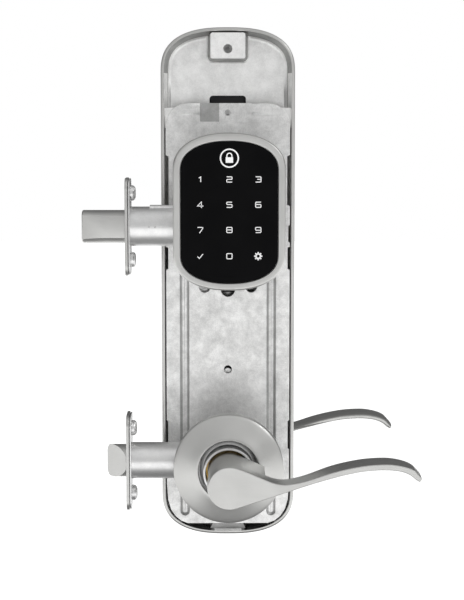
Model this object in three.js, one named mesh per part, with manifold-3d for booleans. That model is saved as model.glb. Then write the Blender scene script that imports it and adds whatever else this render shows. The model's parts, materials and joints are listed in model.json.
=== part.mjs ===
// Keypad smart lock with a lever set, laid out as it sits on a door.
// Frame: +X away from the door's edge, +Y into the room, +Z up, in millimetres.
// The origin is the middle of the lever's cross bore, halfway through the door.
import * as THREE from 'three'
import { mergeVertices } from 'three/addons/utils/BufferGeometryUtils.js'
import Module from 'manifold-3d'

// ---------- driving sizes ----------
const doorFace = 22.2          // half of a 44.4 mm door
const deadboltZ = 139.7        // deadbolt bore above the lever bore
const backset = 60.3           // bore centre to the door's edge
const fit = 0.3                // gap between neighbouring pieces

const keypad = { x: 0.3, halfWidth: 31.75, low: 105.95, high: 194.85, cap: 20.5, power: 2.25 }
const keypadFront = -44.1
const keypadWall = 2.2
const lens = { halfWidth: 27.5, low: 110.2, high: 190.2, cap: 16, front: -43.8, back: -41.8 }
const board = { inset: 3.4, front: -40.6, back: -39 }
const rose = { radius: 32.1, edge: -26.7, lipRadius: 17.5, lip: -33.2 }
const collar = { outer: 14.7, inner: 13.4, front: -39.5 }
const faceplate = { halfHeight: 28.575, halfWidth: 12.7, corner: 6.35, thick: 1.8, screwZ: 19.6 }
const deadbolt = { radius: 9.7, throw: 25.4, barrel: 11.7, crankRadius: 18, tipFlat: 6.6, bodyFlat: 7.9 }
const latch = { radius: 9.7, throw: 12, barrel: 10.8, crankRadius: 15.7, plungerY: 6.2 }
const caseBack = 14            // where both mechanism cases end, past the bore centre
const barrelEnd = -18          // where both barrels end
const throughBolt = { x: 17.5, z: -15, radius: 2.1 }
const housing = { halfWidth: 40.15, low: -50.7, high: 256.9, cap: 27, power: 2.6, wall: 2, back: 54.2 }
const deepTop = 181            // the housing is deep below this height and holds the batteries above it
const pocketFloor = 34         // floor of the wiring tray above the mounting plate
const trayBack = 36
const plate = { back: 24.2, halfWidth: 37.3, top: 212, bottom: -44 }
const pilot = { z: 51.3, hole: 2.4, boss: 3.6 }
const bay = { halfWidth: 32, low: 183.5, high: 239.5 }
const cover = { halfWidth: 35, low: 180.6, high: 245, corner: 5.7 }
const lever = { face: -80, hub: 12, block: -40.5, neckEnd: -28 }
const roomFace = 2 * 11.2      // the room-side lever mirrors the other about half of this
const spindleHalf = 3.5
const gear = { teeth: 32, pinionTeeth: 10, module: 1, near: 38.5, far: 43.5 }
const pinionZ = deadboltZ - 21.4

// ---------- solids ----------
const wasm = await Module()
wasm.setup()

function solid(geometry) {
  const bare = geometry.index ? geometry.toNonIndexed() : geometry.clone()
  bare.deleteAttribute('normal')
  bare.deleteAttribute('uv')
  const merged = mergeVertices(bare, 1e-4)
  const vertProperties = new Float32Array(merged.attributes.position.array)
  const triVerts = new Uint32Array(merged.index.array)
  const build = () => new wasm.Manifold(new wasm.Mesh({ numProp: 3, vertProperties, triVerts }))
  const made = build()
  if (made.volume() > 0) return made
  for (let i = 0; i < triVerts.length; i += 3) {
    const first = triVerts[i]
    triVerts[i] = triVerts[i + 1]
    triVerts[i + 1] = first
  }
  return build()
}

const join = (first, ...others) => others.reduce((all, one) => all.add(one), first)
const cut = (first, ...others) => others.reduce((all, one) => all.subtract(one), first)

function toGeometry(made) {
  const mesh = made.getMesh()
  const geometry = new THREE.BufferGeometry()
  geometry.setAttribute('position', new THREE.BufferAttribute(new Float32Array(mesh.vertProperties), 3))
  geometry.setIndex(new THREE.BufferAttribute(new Uint32Array(mesh.triVerts), 1))
  geometry.computeVertexNormals()
  return geometry
}

// ---------- outlines, as lists of points ----------
const point = (x, y) => new THREE.Vector2(x, y)

function rounded(x0, x1, y0, y1, corner, steps = 4) {
  const outline = []
  const [left, right, low, high] = [x0 + corner, x1 - corner, y0 + corner, y1 - corner]
  const centres = [[right, high], [left, high], [left, low], [right, low]]
  centres.forEach(([x, y], quarter) => {
    for (let i = 0; i <= steps; i += 1) {
      const turn = (quarter + i / steps) * Math.PI / 2
      outline.push(point(x + corner * Math.cos(turn), y + corner * Math.sin(turn)))
    }
  })
  return outline
}

// Straight sides closed by two caps, each half of a superellipse.
function capped(x, halfWidth, low, high, cap, power, steps = 16) {
  const half = (centre, sign) => Array.from({ length: steps + 1 }, (_, i) => {
    const turn = (i / steps) * Math.PI
    const c = Math.cos(turn)
    const s = Math.sin(turn)
    const across = Math.sign(c) * Math.abs(c) ** (2 / power)
    return point(x + sign * halfWidth * across, centre + sign * cap * s ** (2 / power))
  })
  return [...half(high - cap, 1), ...half(low + cap, -1)]
}

const inset = (shape, by) => capped(keypad.x, shape.halfWidth - by, shape.low + by, shape.high - by,
  shape.cap - by / 2, keypad.power)

// ---------- extruded and turned blanks ----------
function extruded(outline, depth, bevel, segments = 1) {
  return new THREE.ExtrudeGeometry(new THREE.Shape(outline), {
    depth: depth - 2 * bevel,
    bevelEnabled: bevel > 0,
    bevelThickness: bevel,
    bevelSize: bevel,
    bevelOffset: -bevel,
    bevelSegments: segments,
    steps: 1,
  }).translate(0, 0, bevel)
}

// An outline in X and Z, carried along Y.
const alongY = (outline, y0, y1, bevel = 0, segments = 1) =>
  solid(extruded(outline, y1 - y0, bevel, segments).rotateX(Math.PI / 2).translate(0, y1, 0))
// An outline in Y and Z, carried along X.
const ontoX = new THREE.Matrix4().makeBasis(
  new THREE.Vector3(0, 1, 0), new THREE.Vector3(0, 0, 1), new THREE.Vector3(1, 0, 0))
const alongX = (outline, x0, x1, bevel = 0) =>
  solid(extruded(outline, x1 - x0, bevel).applyMatrix4(ontoX).translate(x0, 0, 0))
// An outline in X and Y, carried along Z.
const alongZ = (outline, z0, z1, bevel = 0) => solid(extruded(outline, z1 - z0, bevel).translate(0, 0, z0))

function block(x0, x1, y0, y1, z0, z1) {
  const box = new THREE.BoxGeometry(x1 - x0, y1 - y0, z1 - z0)
  return solid(box.translate((x0 + x1) / 2, (y0 + y1) / 2, (z0 + z1) / 2))
}

// A profile of [radius, distance along the axis] pairs, turned about an axis parallel to Y, X or Z.
const turned = (profile, steps) => new THREE.LatheGeometry(profile.map(([r, d]) => point(r, d)), steps)
const aboutY = (profile, x = 0, z = 0, steps = 28) => solid(turned(profile, steps).translate(x, 0, z))
const aboutX = (profile, y = 0, z = 0, steps = 28) =>
  solid(turned(profile, steps).rotateZ(-Math.PI / 2).translate(0, y, z))
const aboutZ = (profile, x = 0, y = 0, steps = 18) =>
  solid(turned(profile, steps).rotateX(Math.PI / 2).translate(x, y, 0))
const barProfile = (radius, d0, d1) => [[0, d0], [radius, d0], [radius, d1], [0, d1]]
const pinY = (radius, x, z, y0, y1, steps = 20) => aboutY(barProfile(radius, y0, y1), x, z, steps)
const pinX = (radius, y, z, x0, x1, steps = 24) => aboutX(barProfile(radius, x0, x1), y, z, steps)

// ---------- finishes ----------
const finish = (color, metalness, roughness) => ({ color, metalness, roughness })
const satinNickel = finish('#b9bab8', 0.9, 0.34)
const dieCastZinc = finish('#cdcdca', 0.7, 0.5)
const zincPlate = finish('#d3d3ce', 0.85, 0.38)
const steel = finish('#a5a6a5', 0.9, 0.35)
const brass = finish('#b88a35', 0.9, 0.35)
const blackGlass = finish('#0b0b0c', 0, 0.1)
const blackPlastic = finish('#1b1b1c', 0, 0.55)
const rubber = finish('#222222', 0, 0.9)
const circuitBoard = finish('#1d4a2c', 0.1, 0.6)
const batteryWrap = finish('#33363a', 0.3, 0.4)

const group = new THREE.Group()

function part(name, made, look) {
  const mesh = new THREE.Mesh(toGeometry(made), new THREE.MeshStandardMaterial(look))
  mesh.name = name
  group.add(mesh)
}

// ---------- keypad on the outside of the door ----------
const boltSpots = base => [-throughBolt.x, throughBolt.x].map(x => [x, base + throughBolt.z])
const boltHoles = (base, y0, y1) => boltSpots(base)
  .map(([x, z]) => pinY(throughBolt.radius + 0.4, x, z, y0, y1, 14))

const gasketFront = -doorFace - 1
const housingBack = gasketFront - fit

function keypadHousing() {
  const body = alongY(inset(keypad, 0), keypadFront, housingBack, 2.2, 2)
  const squareBack = alongY(inset(keypad, 0), -30, housingBack)
  const cavity = alongY(inset(keypad, keypadWall), -37, 0)
  const recess = alongY(inset(lens, -fit), -60, lens.back + fit)
  const window = alongY(inset(lens, 2.6), -60, -36)
  return cut(join(body, squareBack), cavity, recess, window)
}

function keypadBackPlate() {
  const sheet = alongY(inset(keypad, keypadWall + 0.4), housingBack - 2, housingBack)
  const posts = boltSpots(deadboltZ).map(([x, z]) => pinY(4.2, x, z, -34, housingBack - 1, 14))
  const blindHoles = boltSpots(deadboltZ).map(([x, z]) => pinY(throughBolt.radius + fit, x, z, -33, 0, 12))
  const shaftHole = pinY(6, 0, deadboltZ, -60, 0)
  const cableHole = alongY(rounded(-9, 9, 160, 174, 4), -60, 0)
  return cut(join(sheet, ...posts), ...blindHoles, shaftHole, cableHole)
}

const gasketRing = cut(alongY(inset(keypad, 0.8), gasketFront, -doorFace), alongY(inset(keypad, 4.8), -30, 0))
part('keypad_gasket', gasketRing, rubber)
part('keypad_housing', keypadHousing(), satinNickel)
part('keypad_back_plate', keypadBackPlate(), zincPlate)
part('keypad_lens', alongY(inset(lens, 0), lens.front, lens.back, 0.3, 1), blackGlass)
part('keypad_board', alongY(inset(lens, board.inset), board.front, board.back), circuitBoard)

function throughScrew([x, z], tip) {
  const head = plate.back + fit
  return aboutY([[0, tip], [1.4, tip], [throughBolt.radius, tip + 0.7], [throughBolt.radius, head],
    [4, head], [4, head + 1.6], [2.8, head + 2.6], [0, head + 2.6]], x, z, 12)
}
boltSpots(deadboltZ).forEach((spot, i) => part(`keypad_bolt_${i + 1}`, throughScrew(spot, -32), steel))

// ---------- faceplates on the door's edge ----------
const plateOutline = (z, by = 0) => rounded(-faceplate.halfWidth + by, faceplate.halfWidth - by,
  z - faceplate.halfHeight + by, z + faceplate.halfHeight - by, faceplate.corner - by, 5)
const plateFront = -backset
const plateBack = plateFront + faceplate.thick

function edgePlate(z, opening) {
  const blank = alongX(plateOutline(z), plateFront, plateBack, 0.4)
  const countersink = [[0, plateFront - 1], [5.4, plateFront - 1], [2.4, plateFront + 2],
    [2.4, plateBack + 1], [0, plateBack + 1]]
  const countersinks = [-1, 1].map(side => aboutX(countersink, 0, z + side * faceplate.screwZ, 16))
  return cut(blank, opening, ...countersinks)
}

// A thin formed plate behind each faceplate, with a domed boss behind each screw hole.
function formedPlate(z, barrel) {
  const near = plateBack + fit
  const far = near + 0.8
  const domeTip = far + 3
  const domes = [-1, 1].map(side => aboutX([[0, near], [4.6, near], [4.6, far + 0.6], [3.9, domeTip - 0.9],
    [2.9, domeTip], [0, domeTip]], 0, z + side * faceplate.screwZ, 16))
  const holes = [-1, 1].map(side => pinX(2, 0, z + side * faceplate.screwZ, near - 1, domeTip + 1, 12))
  const blank = join(alongX(plateOutline(z, 0.5), near, far), ...domes)
  return cut(blank, ...holes, pinX(barrel + fit, 0, z, near - 1, domeTip + 1))
}

// ---------- deadbolt ----------
const deadboltTip = plateFront - deadbolt.throw
const crankX = radius => -radius * Math.SQRT1_2

// The bolt is a round bar with a long flat milled on its front and its back, deepest at the tip.
function deadboltBolt() {
  const [tip, shoulder] = [deadboltTip, -72]
  const bar = aboutX([[0, tip], [deadbolt.radius - 0.6, tip], [deadbolt.radius, tip + 0.6],
    [deadbolt.radius, -47], [0, -47]], 0, deadboltZ, 40)
  const flats = [-1, 1].map(side => {
    const depths = [[tip - 1, 20], [tip - 1, deadbolt.tipFlat - 0.5], [tip, deadbolt.tipFlat - 0.5],
      [tip + 0.5, deadbolt.tipFlat], [shoulder, deadbolt.bodyFlat], [-40, deadbolt.bodyFlat], [-40, 20]]
    return alongZ(depths.map(([x, y]) => point(x, side * y)), deadboltZ - 15, deadboltZ + 15)
  })
  const pin = crankX(deadbolt.crankRadius)
  const strap = block(-48, pin + 4.2, -1.5, 1.5, deadboltZ + 7.8, deadboltZ + 9.4)
  const yoke = block(pin - 4.2, pin + 4.2, -1.5, 1.5, deadboltZ + 7.8, deadboltZ + 22)
  const slot = alongY(rounded(pin - 2.4, pin + 2.4, deadboltZ + 10.4, deadboltZ + 20.3, 2.3), -3, 3)
  return cut(join(cut(bar, ...flats), strap, yoke), slot)
}

function barrelTube(z, inner, outer, ...ribs) {
  const profile = [[0, barrelStart], [outer - 0.5, barrelStart], [outer, barrelStart + 0.9],
    [outer, barrelEnd], [0, barrelEnd]]
  return cut(join(aboutX(profile, 0, z), ...ribs), pinX(inner, 0, z, plateBack - 1, 0, 28))
}

// An open-topped case round the crank, with a bearing hole in each cheek.
function crankCase(z) {
  const outer = block(barrelEnd + fit, caseBack, -9.4, 9.4, z - 9.6, z + 15)
  const inside = block(barrelEnd - 1, caseBack + 1, -8, 8, z - 8.2, z + 40)
  return cut(outer, inside, pinY(6.6, 0, z, -12, 12))
}

// A hub turned by the spindle or blade, with one arm and a pin that moves the bolt's yoke.
function crank(z, radius, restAngle, socket) {
  const hub = join(pinY(6.3, 0, z, -9.2, 9.2, 18), pinY(7.4, 0, z, -7.6, 7.6, 18))
  const [px, pz] = [radius * Math.sin(restAngle), z + radius * Math.cos(restAngle)]
  const [sideX, sideZ] = [2.6 * Math.cos(restAngle), -2.6 * Math.sin(restAngle)]
  const arm = alongY([point(sideX, z + sideZ), point(px + sideX, pz + sideZ), point(px - sideX, pz - sideZ),
    point(-sideX, z - sideZ)], 1.9, 4.2)
  const end = pinY(2.6, px, pz, 1.9, 4.2, 12)
  const pin = pinY(1.5, px, pz, -1.5, 2.5, 10)
  return cut(join(hub, arm, end, pin), socket)
}

const boltWindow = (radius, z) => pinX(radius + fit, 0, z, -70, -50, 28)
part('deadbolt_faceplate', edgePlate(deadboltZ, boltWindow(deadbolt.radius, deadboltZ)), satinNickel)
part('deadbolt_backplate', formedPlate(deadboltZ, deadbolt.barrel), zincPlate)
const barrelStart = plateBack + fit
const topStrap = block(-46, barrelEnd, -4, 4, deadboltZ + 10.8, deadboltZ + deadbolt.barrel + 0.8)
part('deadbolt_barrel', barrelTube(deadboltZ, deadbolt.radius + fit, deadbolt.barrel, topStrap), zincPlate)
part('deadbolt_bolt', deadboltBolt(), satinNickel)
part('deadbolt_case', crankCase(deadboltZ), zincPlate)
part('deadbolt_crank', crank(deadboltZ, deadbolt.crankRadius, -Math.PI / 4,
  alongY(rounded(-3.2, 3.2, deadboltZ - 1.3, deadboltZ + 1.3, 0.4, 2), -12, 12)), steel)
part('tailpiece', alongY(rounded(-2.9, 2.9, deadboltZ - 1, deadboltZ + 1, 0.4, 2), -31, 31), steel)

// ---------- spring latch ----------
const latchTip = plateFront - latch.throw
const latchRest = -Math.PI / 8

function latchBolt() {
  const bar = pinX(latch.radius, 0, 0, latchTip, -47, 32)
  const plungerRoom = block(latchTip - 1, 0, latch.plungerY - fit, 20, -20, 20)
  // The bevel runs from the flat back of the tip to the front of the faceplate.
  const bevel = alongZ([point(latchTip - 1, 4.6), point(plateFront - 0.4, -9), point(plateFront - 0.4, -20),
    point(latchTip - 1, -20)], -15, 15)
  const nose = aboutX([[0, latchTip], [7, latchTip + 0.5], [latch.radius, latchTip + 1.8],
    [latch.radius, 0], [0, 0]], 0, 0, 32)
  const pin = latch.crankRadius * Math.sin(latchRest)
  const strap = block(-48, pin + 4, -1.5, 1.5, 7.8, 9.4)
  const yoke = block(pin - 4, pin + 4, -1.5, 1.5, 7.8, 20.4)
  const slot = alongY(rounded(pin - 2.1, pin + 2.1, 11.4, 18.4, 2), -3, 3)
  return cut(join(cut(bar, plungerRoom, bevel).intersect(nose), strap, yoke), slot)
}

function latchPlunger() {
  const bar = pinX(latch.radius, 0, 0, latchTip + 2, -47, 32)
  return cut(bar, block(-90, 0, -20, latch.plungerY, -20, 20))
}

part('latch_faceplate', edgePlate(0, boltWindow(latch.radius, 0)), satinNickel)
part('latch_backplate', formedPlate(0, latch.barrel), zincPlate)
part('latch_barrel', barrelTube(0, latch.radius + fit, latch.barrel), zincPlate)
part('latch_bolt', latchBolt(), satinNickel)
part('latch_plunger', latchPlunger(), satinNickel)
part('latch_case', crankCase(0), zincPlate)
const spindleSocket = (y0, y1, z = 0) =>
  block(-spindleHalf - fit, spindleHalf + fit, y0, y1, z - spindleHalf - fit, z + spindleHalf + fit)
part('latch_crank', crank(0, latch.crankRadius, latchRest, spindleSocket(-12, 12)), steel)

// ---------- lever: one outline seen from the front, with a deep hub block and a shallower arm ----------
function leverOutline() {
  const shape = new THREE.Shape()
  shape.moveTo(4.2, 11.2)
  shape.absarc(0, 0, lever.hub, Math.atan2(11.2, 4.2), Math.PI * 1.5 + 0.32, false)
  shape.lineTo(44, 1.8)
  shape.splineThru([point(56, 5.2), point(66, 7.9), point(76, 9.6), point(86, 10.1), point(95, 9.2),
    point(100, 7.2), point(103.2, 4.4)])
  shape.splineThru([point(104.8, 3.7), point(106, 4.7), point(105.7, 6.4)])
  shape.splineThru([point(103, 9), point(99, 11.2), point(92.5, 12.8), point(85.9, 13.4), point(76, 12.9),
    point(66, 11.2), point(56, 8.7), point(46, 5.4), point(39.7, 3.5), point(33, 2.3), point(28, 2.4),
    point(23.2, 3.6), point(16.6, 6.2), point(10, 9.2), point(4.2, 11.2)])
  const points = shape.extractPoints(2).shape
  return points.filter((p, i) => i === 0 || p.distanceTo(points[i - 1]) > 0.25)
}

function leverSolid() {
  const outline = leverOutline()
  const arm = alongY(outline, lever.face, -57.5, 0.9)
  // The arm's back starts shallow beside the hub and drops away toward the grip.
  const backLine = new THREE.CatmullRomCurve3([[-20, -64], [20, -64], [38, -62], [60, -58.4], [84, -57.5],
    [120, -57.5]].map(([x, y]) => new THREE.Vector3(x, y, 0))).getPoints(8)
  const front = alongZ([...backLine.map(p => point(p.x, p.y)), point(120, -90), point(-20, -90)], -30, 30)
  const hubBlock = alongY(outline, lever.face + 1, lever.block, 0.5, 1)
  const hubOnly = alongZ(rounded(-20, 20.3, -100, 0, 2), -30, 30)
  const neck = pinY(lever.hub - 0.1, 0, 0, -44, lever.neckEnd, 30)
  const made = join(arm.intersect(front), hubBlock.intersect(hubOnly), neck)
  return cut(made, spindleSocket(-37, lever.neckEnd + 1))
}

// ---------- outside rose, collar and lever ----------
const { radius, edge, lipRadius, lip } = rose
const roseInside = [[radius, -doorFace], [radius - 1.6, -doorFace], [radius - 1.6, edge + 0.8], [25, -29.2],
  [lipRadius, lip + 1.6]]
const roseOutside = [[lipRadius, lip + 0.3], [lipRadius + 0.4, lip], [21, lip + 0.5], [27, -30.4],
  [radius - 0.8, edge - 0.5], [radius, edge + 0.4], [radius, -doorFace]]
part('exterior_rose', aboutY([...roseInside, ...roseOutside], 0, 0, 48), satinNickel)

function chassis() {
  const disc = aboutY(barProfile(29.8, -24.4, -doorFace), 0, 0, 36)
  const posts = boltSpots(0).map(([x, z]) => pinY(3.8, x, z, -27.2, -23, 14))
  const blindHoles = boltSpots(0).map(([x, z]) => pinY(throughBolt.radius + fit, x, z, -26.6, 0, 12))
  return cut(join(disc, ...posts), ...blindHoles, pinY(6, 0, 0, -30, 0))
}
part('exterior_chassis', chassis(), zincPlate)
// A ring of square section, from its radii and its two ends.
const ringProfile = (inner, outer, y0, y1) => [[inner, y0], [outer, y0], [outer, y1], [inner, y1], [inner, y0]]

const flange = { radius: 16.8, front: -26.8, back: -24.7 }
part('exterior_collar', aboutY([
  [collar.inner, collar.front], [collar.outer - 0.4, collar.front], [collar.outer, collar.front + 0.4],
  [collar.outer, flange.front - 0.4], [flange.radius, flange.front], [flange.radius, flange.back],
  [collar.inner, flange.back], [collar.inner, collar.front],
], 0, 0, 32), steel)
part('exterior_bushing', aboutY(ringProfile(12.3, collar.inner - fit, -29.6, -27), 0, 0, 32), brass)
part('exterior_lever', leverSolid(), satinNickel)
const spindleOutline = rounded(-spindleHalf, spindleHalf, -spindleHalf, spindleHalf, 0.6, 2)
part('exterior_spindle', alongY(spindleOutline, -36.5, 8.4), steel)
boltSpots(0).forEach((spot, i) => part(`lever_bolt_${i + 1}`, throughScrew(spot, -26.3), steel))

// ---------- mounting plate on the room side ----------
function plateBlank() {
  const shape = new THREE.Shape()
  const side = plate.halfWidth
  shape.moveTo(25, plate.top)
  shape.lineTo(-25, plate.top)
  shape.bezierCurveTo(-32, plate.top, -36, 206, -side, 197.5)
  shape.lineTo(-side, -20)
  shape.bezierCurveTo(-side, -32, -33.5, -40.5, -24.5, plate.bottom)
  shape.lineTo(24.5, plate.bottom)
  shape.bezierCurveTo(33.5, -40.5, side, -32, side, -20)
  shape.lineTo(side, 197.5)
  shape.bezierCurveTo(36, 206, 32, plate.top, 25, plate.top)
  const points = shape.extractPoints(6).shape
  return alongY(points.slice(0, -1), doorFace, plate.back)
}

// Stretches of each long edge that step in: from, to, how far.
const notches = [[150.6, 181, 1.7], [128.5, 139, 0.9], [112, 126, 1.3], [2, 20, 0.9]]
// Shallow channels pressed down both sides.
const bead = { x: 26.25, half: 2.35 }
const rivetZ = 206.4

function mountingPlate() {
  const blank = plateBlank()
  const sideNotches = notches.flatMap(([low, high, deep]) => [-1, 1].map(side => {
    const edges = [side * (plate.halfWidth - deep), side * 45].sort((a, b) => a - b)
    return block(edges[0], edges[1], 20, 30, low, high)
  }))
  const beads = [-1, 1].map(side => {
    const [near, far] = [side * bead.x - bead.half, side * bead.x + bead.half]
    return alongY(rounded(near, far, -39, 170, bead.half - 0.05), 20, doorFace + 0.9)
  })
  const holes = [[0, deadboltZ, 9], [0, 0, 10], [0, 100, 4.2], [-14, 101.8, 3.5], [14, 101.8, 3.5],
    [0, pilot.z, pilot.hole]].map(([x, z, r]) => pinY(r, x, z, 20, 30, 16))
  const cableHole = alongY(rounded(-10, 10, 160, 174, 4), 20, 30)
  const tabStep = block(-16.7, 14.4, 20, doorFace + 0.5, 201, 220)
  const centreTab = block(-5.2, 5.2, 20, doorFace + 1, 199, 220)
  const rivetHole = pinY(1.4, 0, rivetZ, 20, 30, 12)
  const screwHoles = [...boltHoles(0, 20, 30), ...boltHoles(deadboltZ, 20, 30)]
  return cut(blank, ...sideNotches, ...beads, ...holes, ...screwHoles, cableHole, tabStep, centreTab, rivetHole)
}
part('interior_plate', mountingPlate(), zincPlate)
part('plate_rivet', aboutY([[0, 22.4], [1.3, 22.4], [1.8, 22.7], [1.8, 23], [1.1, 23], [1.1, 29], [0, 29]],
  0, rivetZ, 10), steel)

// ---------- housing on the room side: deep behind the plate, with a battery bay on the room side ----------
const housingOutline = by => capped(0, housing.halfWidth - by, housing.low + by, housing.high - by,
  housing.cap - by / 2, housing.power)

const coverOutline = grow => rounded(-cover.halfWidth - grow, cover.halfWidth + grow, cover.low - grow,
  cover.high + grow, cover.corner + grow)

function housingSolid() {
  const body = alongY(housingOutline(0), doorFace, housing.back, 5, 3)
  const squareRim = alongY(housingOutline(0), doorFace, 34)
  const hollow = alongY(housingOutline(housing.wall), 10, trayBack + fit)
  const deepPart = alongY(housingOutline(housing.wall + 0.6), 30, 52)
    .intersect(block(-60, 60, 0, 60, -60, deepTop))
  const bayRoom = alongY(rounded(-bay.halfWidth, bay.halfWidth, bay.low, bay.high, 0.5, 1), 30, 60)
  const coverStep = alongY(coverOutline(fit), 52, 60)
  const bottomBoss = block(-12, 12, plate.back + fit, 53, -60, -43)
    .intersect(alongY(housingOutline(1), doorFace, 53))
  const pilotBoss = pinY(pilot.boss, 0, pilot.z, plate.back + fit, 53, 16)
  const pilotHole = pinY(1.1, 0, pilot.z, 20, 40, 10)
  const roomHoles = [pinY(8, 0, deadboltZ, 40, 60), pinY(collar.outer + fit, 0, 0, 40, 60, 32)]
  const shell = cut(join(body, squareRim), hollow, deepPart)
  return cut(join(shell, bottomBoss, pilotBoss), bayRoom, coverStep, pilotHole, ...roomHoles)
}
part('interior_housing', housingSolid(), dieCastZinc)

// A cast tray closes the housing behind the batteries. It carries the ledge that the plate rests on,
// the top screw boss and the slot that the keypad's cable passes through.
function wiringTray() {
  const floor = block(-45, 45, pocketFloor, trayBack, deepTop + fit, 260)
  const ledge = cut(block(-45, 45, plate.back + fit, 35, 197, 209.4), block(-17, 17, 20, 33, 190, 204))
  const topBoss = block(-11, 11, doorFace + 0.6, 35, 237.6, 260)
  const insideWalls = alongY(housingOutline(housing.wall + fit), doorFace, 40)
  const blank = join(floor, ledge, topBoss).intersect(insideWalls)
  const counterbore = join(pinY(2.75, 0, 244.2, 20, 25.5, 14), pinY(1.1, 0, 244.2, 20, 33, 14))
  const cableSlot = alongY(rounded(-11, 11, 203, 216.6, 2), 10, 38)
  return cut(blank, counterbore, cableSlot, pinY(1.4, 0, rivetZ, 20, 34, 12))
}
part('wiring_tray', wiringTray(), dieCastZinc)

// ---------- batteries and their cover ----------
const batterySpots = [-22.8, -7.6, 7.6, 22.8]
const batteryY = 44.8
const batteryTrayFront = trayBack + fit

function batteryTray() {
  const [half, low, high] = [bay.halfWidth - 0.6, bay.low + 0.5, bay.high - 0.5]
  const base = block(-half, half, batteryTrayFront, batteryTrayFront + 1, low, high)
  const contactWalls = [[low, low + 1.4], [high - 1.6, high]]
    .map(([z0, z1]) => block(-half, half, batteryTrayFront, 48, z0, z1))
  const cableWay = block(-10.6, 10.6, 30, 40, 203, 217)
  return cut(join(base, ...contactWalls), cableWay)
}
part('battery_tray', batteryTray(), blackPlastic)
batterySpots.forEach((x, i) => {
  const [low, high] = i % 2 ? [235.6, 187] : [187, 235.6]
  const step = Math.sign(high - low)
  part(`battery_${i + 1}`, aboutZ([[0, low], [6.6, low], [7.1, low + step * 0.5], [7.1, high - step * 0.5],
    [6.6, high], [2.7, high], [2.7, high + step], [0, high + step]], x, batteryY, 16), batteryWrap)
})
part('battery_cover', alongY(coverOutline(0), 52.3, housing.back + 0.8, 0.5), satinNickel)

// ---------- motor drive for the deadbolt ----------
function gearOutline(teeth, clearance) {
  const pitch = gear.module * teeth / 2
  const outline = []
  for (let i = 0; i < teeth; i += 1) {
    const middle = (i / teeth) * 2 * Math.PI
    const half = (Math.PI / 2 - clearance) / teeth
    const [root, tip] = [pitch - gear.module, pitch + 0.7 * gear.module]
    const [rootHalf, tipHalf] = [half * 1.45, half * 0.5]
    outline.push([root, middle - rootHalf], [tip, middle - tipHalf])
    outline.push([tip, middle + tipHalf], [root, middle + rootHalf])
  }
  return outline
}
const gearPoints = (teeth, x, z, phase) => gearOutline(teeth, 0.32)
  .map(([r, turn]) => point(x + r * Math.cos(turn + phase), z + r * Math.sin(turn + phase)))

part('thumbturn_gear', cut(alongY(gearPoints(gear.teeth, 0, deadboltZ, -Math.PI / 2), gear.near, gear.far),
  pinY(7 + fit, 0, deadboltZ, 30, 50)), brass)

function motorPinion() {
  // Half a tooth off the gear's own phase, so that the two mesh.
  const phase = Math.PI / 2 + Math.PI / gear.pinionTeeth
  const toothed = alongY(gearPoints(gear.pinionTeeth, 0, pinionZ, phase), gear.near, gear.far)
  return join(toothed, pinY(2, 0, pinionZ, 31, gear.near + 1, 12))
}
part('motor_pinion', motorPinion(), brass)

const gearboxShaft = pinY(2 + fit, 0, pinionZ, 30.5, 50, 12)
part('motor_gearbox', cut(block(-11, 11, 28.5, 37.8, 99, 128), gearboxShaft), blackPlastic)
part('deadbolt_motor', aboutZ([[0, 68], [3, 68], [3, 70], [8.6, 70], [8.6, 98], [3, 98], [3, 98.7], [0, 98.7]],
  0, 36.6), steel)
const boardHole = pinY(pilot.boss + fit, 0, pilot.z, 40, 60, 16)
part('control_board', cut(block(-27, 27, 47.5, 49.1, 18, 64), boardHole), circuitBoard)

function thumbturn() {
  const shaft = pinY(7, 0, deadboltZ, 25.5, 57, 24)
  const skirt = aboutY([[0, 54.8], [15, 54.8], [15, 56.6], [13.4, 58.4], [0, 58.4]], 0, deadboltZ, 32)
  const wing = alongY(rounded(-5.2, 5.2, deadboltZ - 17, deadboltZ + 17, 5, 5), 57, 76, 1.4, 2)
  return cut(join(shaft, skirt, wing), block(-3.2, 3.2, 20, 31.6, deadboltZ - 1.3, deadboltZ + 1.3))
}
part('thumbturn', thumbturn(), satinNickel)

// ---------- room-side lever, its collar, and the link up to the deadbolt ----------
const roomCollarEnd = roomFace - collar.front
part('interior_collar', aboutY([
  [collar.inner, 48], [flange.radius, 48], [flange.radius, 49.6], [collar.outer, 49.8],
  [collar.outer, roomCollarEnd - 0.4], [collar.outer - 0.4, roomCollarEnd], [collar.inner, roomCollarEnd],
  [collar.inner, 48],
], 0, 0, 32), steel)
part('interior_lever', leverSolid().mirror([0, 1, 0]).translate([0, roomFace, 0]), satinNickel)
part('interior_spindle', alongY(spindleOutline, 9.6, roomFace + 36.1), steel)

const linkArm = 14
const linkPinZ = -linkArm * Math.sin(Math.PI / 8)
function linkCam() {
  const armX = -linkArm * Math.cos(Math.PI / 8)
  const hub = pinY(6.6, 0, 0, 25, 36, 20)
  const armOutline = [point(0, 3), point(armX, linkPinZ + 2.6), point(armX, linkPinZ - 2.6), point(0, -3)]
  const arm = alongY(armOutline, 31.4, 34)
  const end = pinY(2.6, armX, linkPinZ, 31.4, 34, 12)
  const pin = pinY(1.5, armX, linkPinZ, 28.4, 32, 10)
  return cut(join(hub, arm, end, pin), spindleSocket(20, 40))
}
part('link_cam', linkCam(), steel)

// The cam's pin swings between these two distances from the lever's axis, in a slot across the link.
function linkBar() {
  const [near, far] = [-linkArm * Math.cos(Math.PI / 8), -linkArm]
  const bar = block(-18.2, -12.4, 28.4, 30.8, linkPinZ - 5, 124)
  const slot = alongY(rounded(far - 2.1, near + 2.4, linkPinZ - 1.9, linkPinZ + 1.9, 1.8), 26, 32)
  return cut(bar, slot)
}
part('interconnect_link', linkBar(), zincPlate)

export default group
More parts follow.
